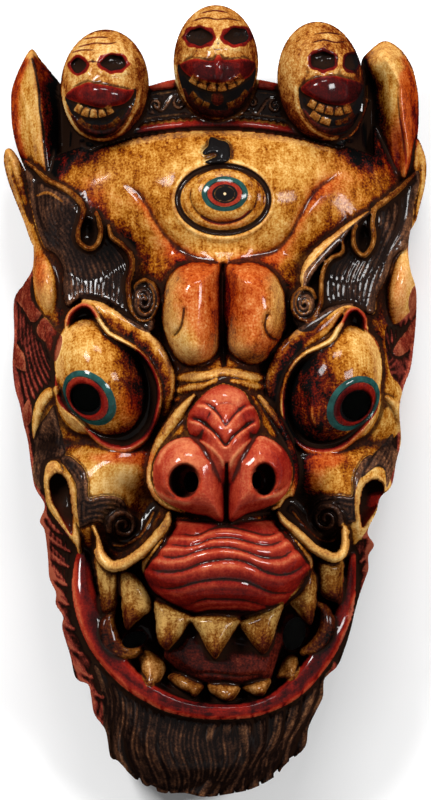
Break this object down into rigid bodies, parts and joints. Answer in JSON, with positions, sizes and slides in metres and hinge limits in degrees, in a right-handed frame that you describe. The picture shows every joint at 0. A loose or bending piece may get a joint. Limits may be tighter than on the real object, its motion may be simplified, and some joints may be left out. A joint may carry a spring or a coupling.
{
  "type": "carved mask",
  "caption": "Carved wooden dance mask of a fierce deity, crowned with skulls, with bulging eyes, fangs, a wavy beard and a hollow back that opens on a flat rim.",
  "frame": {"origin": "centre of the mask's plan outline, in the plane of the flat rim it lies on", "axes": "+Z out of the face, +Y towards the crown of skulls, +X to the viewer's right; the mask lies on its rim, face up"},
  "size_m": [0.2621, 0.4865, 0.1693],
  "materials": {
    "gilded_lacquer": "gold, red and black paint under aged varnish"
  },
  "bodies": {
    "root": {"mask": "gilded_lacquer"}
  },
  "joints": []
}
